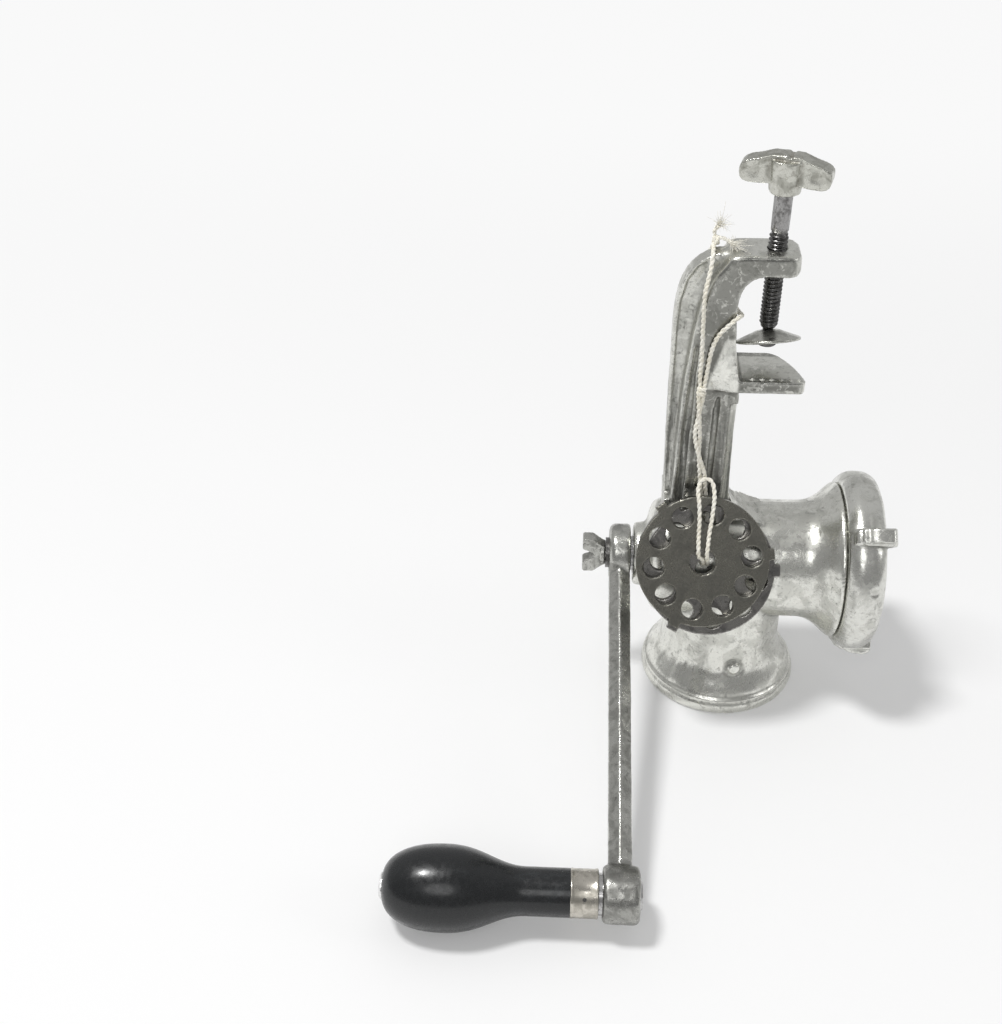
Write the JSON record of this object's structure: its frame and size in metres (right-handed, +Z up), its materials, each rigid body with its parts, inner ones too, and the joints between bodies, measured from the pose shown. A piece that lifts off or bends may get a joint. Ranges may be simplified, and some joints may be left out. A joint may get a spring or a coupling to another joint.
{
  "type": "hand crank meat grinder",
  "caption": "Cast iron table-clamp meat grinder with crank, feed screw, knife, hole plates, ring nut and black wooden grip, standing on its hopper.",
  "frame": {"origin": "centre of the hopper mouth, in the plane of the rim that it stands on", "axes": "+Z up as it stands on its hopper, +X along the barrel towards the ring nut and outlet, -X towards the crank, -Y towards the crank's handle. In use it is turned over, so that the hopper opens upwards, and clamped to a table edge."},
  "size_m": [0.214, 0.2217, 0.2616],
  "materials": {
    "tinned_iron": "tinned casting, dull and mottled, with darker scuffed patches",
    "ring_tin": "tinned casting, brighter, machined edges",
    "crank_iron": "worn tinned iron, dark in the hollows",
    "knob_iron": "tinned iron with rust specks",
    "dark_steel": "oiled dark steel thread",
    "bare_steel": "bare turned steel",
    "plate_dark": "blackened, oxidised steel plate",
    "plate_bright": "ground steel plate, tarnished",
    "black_wood": "black lacquered turned wood",
    "nickel": "nickel plated brass, worn",
    "cotton": "twisted cotton string"
  },
  "bodies": {
    "frame": {"body_casting": "tinned_iron", "thrust_washer": "bare_steel", "tie_string": "cotton", "tie_knot": "cotton", "join_knot": "cotton"},
    "drive": {"feed_screw": "tinned_iron", "knife_stud": "bare_steel", "knife": "bare_steel", "crank_arm": "crank_iron", "handle_spindle": "bare_steel", "grip_washer": "bare_steel", "spindle_cap": "nickel"},
    "handle": {"grip": "black_wood", "ferrule": "nickel", "ferrule_pin": "dark_steel"},
    "crank_washer": {"thumb_washer": "dark_steel"},
    "crank_fixing": {"thumb_screw": "crank_iron"},
    "outlet_plate": {"hole_plate": "plate_bright"},
    "outlet_ring": {"ring_nut": "ring_tin"},
    "clamp_foot": {"clamp_pad": "ring_tin"},
    "clamp_spindle": {"clamp_screw": "dark_steel", "clamp_knob": "knob_iron"},
    "spare_plates": {"spare_plate_front": "plate_dark", "spare_plate_rear": "plate_bright", "plate_string": "cotton"}
  },
  "joints": [
    {"name": "crank_turn", "type": "hinge", "parent": "frame", "child": "drive", "pos_m": [0, 0, 0.0665], "axis": [-1, 0, 0], "continuous": true},
    {"name": "grip_spin", "type": "hinge", "parent": "drive", "child": "handle", "pos_m": [-0.1, -0.1595, 0.01804], "axis": [-1, 0, 0], "continuous": true},
    {"name": "thumb_slide", "type": "slide", "parent": "drive", "child": "crank_washer", "axis": [-1, 0, 0], "range_m": [0, 0.0121]},
    {"name": "thumb_turn", "type": "hinge", "parent": "crank_washer", "child": "crank_fixing", "pos_m": [-0.06, 0, 0.0665], "axis": [-1, 0, 0], "range_deg": [0, 4320]},
    {"name": "ring_slide", "type": "slide", "parent": "frame", "child": "outlet_plate", "axis": [1, 0, 0], "range_m": [0, 0.0101]},
    {"name": "ring_turn", "type": "hinge", "parent": "outlet_plate", "child": "outlet_ring", "pos_m": [0.057, 0, 0.0665], "axis": [1, 0, 0], "range_deg": [0, 1440]},
    {"name": "clamp_feed", "type": "slide", "parent": "frame", "child": "clamp_foot", "axis": [0, 0, -1], "range_m": [-0.0105, 0.0004]},
    {"name": "clamp_turn", "type": "hinge", "parent": "clamp_foot", "child": "clamp_spindle", "pos_m": [0.0059, 0, 0.215], "axis": [0, 0, -1], "range_deg": [-2170, 90]},
    {"name": "plates_swing", "type": "hinge", "parent": "frame", "child": "spare_plates", "pos_m": [-0.0204, -0.0126, 0.162], "axis": [-1, 0, 0], "range_deg": [0, 25]}
  ],
  "couplings": [
    {"joint": "thumb_slide", "follows": "thumb_turn", "m_per_rad": 0.00015915},
    {"joint": "ring_slide", "follows": "ring_turn", "m_per_rad": 0.00039789},
    {"joint": "clamp_turn", "follows": "clamp_feed", "rad_per_m": 3590.4}
  ]
}
